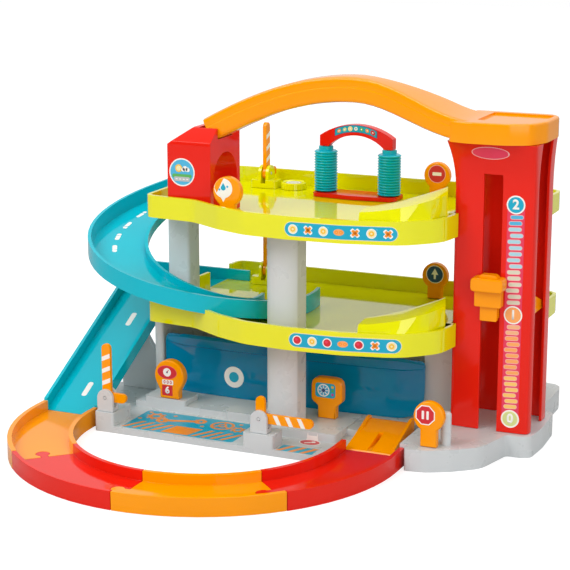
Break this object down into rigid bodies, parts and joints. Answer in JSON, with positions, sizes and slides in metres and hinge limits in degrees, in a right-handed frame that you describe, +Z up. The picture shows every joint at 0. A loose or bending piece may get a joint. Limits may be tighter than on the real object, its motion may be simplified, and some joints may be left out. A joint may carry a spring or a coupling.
{
  "type": "toy garage",
  "caption": "Toy parking garage with decks on pillars, lift tower with hand-moved platform, spiral and straight ramps, half ring of track, car wash, gatehouse, barriers and carrying arch",
  "frame": {"origin": "on the underside of the base plate, at floor level, under the middle of the decks' width", "axes": "+X runs along the front to the right, towards the lift tower; +Y runs from the front to the back; +Z is up"},
  "size_m": [0.5585, 0.5235, 0.3979],
  "materials": {
    "light_grey_plastic": "moulded light grey plastic with a satin sheen",
    "lime_plastic": "glossy moulded lime yellow plastic",
    "teal_plastic": "glossy moulded teal plastic",
    "red_plastic": "glossy moulded red plastic",
    "orange_plastic": "glossy moulded orange plastic",
    "clear_blue_plastic": "see-through blue plastic"
  },
  "bodies": {
    "garage": {"base_plate": "light_grey_plastic", "side_wall_left": "light_grey_plastic", "rear_wall": "light_grey_plastic", "side_wall_right": "light_grey_plastic", "front_pillar_lower": "light_grey_plastic", "front_pillar_upper": "light_grey_plastic", "deck_column_left": "light_grey_plastic", "deck_column_right": "light_grey_plastic", "workshop_window": "clear_blue_plastic", "deck_level_1": "lime_plastic", "deck_level_2": "lime_plastic", "tower_front": "red_plastic", "tower_rear": "red_plastic", "carry_handle": "orange_plastic", "gatehouse": "red_plastic", "spiral_ramp": "teal_plastic", "straight_ramp": "teal_plastic", "track_piece_1": "orange_plastic", "track_piece_2": "red_plastic", "track_piece_3": "orange_plastic", "track_piece_4": "red_plastic", "exit_ramp": "orange_plastic", "stop_sign": "orange_plastic", "arrow_sign": "orange_plastic", "no_entry_sign": "orange_plastic", "wash_sign": "orange_plastic", "fuel_pump": "orange_plastic", "diagnosis_post": "orange_plastic", "wash_base": "red_plastic", "wash_arch": "red_plastic", "brush_spindle_left": "light_grey_plastic", "brush_spindle_right": "light_grey_plastic", "service_disc": "lime_plastic", "barrier_post_ground_left": "light_grey_plastic", "barrier_pin_ground_left": "light_grey_plastic", "barrier_post_ground_right": "light_grey_plastic", "barrier_pin_ground_right": "light_grey_plastic", "barrier_post_level_1": "lime_plastic", "barrier_pin_level_1": "light_grey_plastic", "barrier_post_level_2": "lime_plastic", "barrier_pin_level_2": "light_grey_plastic"},
    "lift": {"lift_platform": "orange_plastic", "lift_handle": "orange_plastic"},
    "barrier_ground_left": {"barrier_arm_ground_left": "orange_plastic"},
    "barrier_ground_right": {"barrier_arm_ground_right": "orange_plastic"},
    "barrier_level_1": {"barrier_arm_level_1": "orange_plastic"},
    "barrier_level_2": {"barrier_arm_level_2": "orange_plastic"},
    "brush_left": {"wash_brush_left": "teal_plastic"},
    "brush_right": {"wash_brush_right": "teal_plastic"}
  },
  "joints": [
    {"name": "lift_slide", "type": "slide", "parent": "garage", "child": "lift", "axis": [0, 0, 1], "range_m": [-0.119, 0.083]},
    {"name": "barrier_ground_left_hinge", "type": "hinge", "parent": "garage", "child": "barrier_ground_left", "pos_m": [-0.16575, -0.1148, 0.0383], "axis": [0, -1, 0], "range_deg": [0, 90]},
    {"name": "barrier_ground_right_hinge", "type": "hinge", "parent": "garage", "child": "barrier_ground_right", "pos_m": [0.02275, -0.1148, 0.0383], "axis": [0, -1, 0], "range_deg": [0, 90]},
    {"name": "barrier_level_1_hinge", "type": "hinge", "parent": "garage", "child": "barrier_level_1", "pos_m": [-0.093, 0.154, 0.1343], "axis": [1, 0, 0], "range_deg": [0, 88]},
    {"name": "barrier_level_2_hinge", "type": "hinge", "parent": "garage", "child": "barrier_level_2", "pos_m": [-0.093, 0.154, 0.2543], "axis": [1, 0, 0], "range_deg": [0, 88]},
    {"name": "brush_left_spin", "type": "hinge", "parent": "garage", "child": "brush_left", "pos_m": [-0.00675, 0.134, 0.2428], "axis": [0, 0, 1], "continuous": true},
    {"name": "brush_right_spin", "type": "hinge", "parent": "garage", "child": "brush_right", "pos_m": [0.07275, 0.134, 0.2428], "axis": [0, 0, 1], "continuous": true}
  ]
}
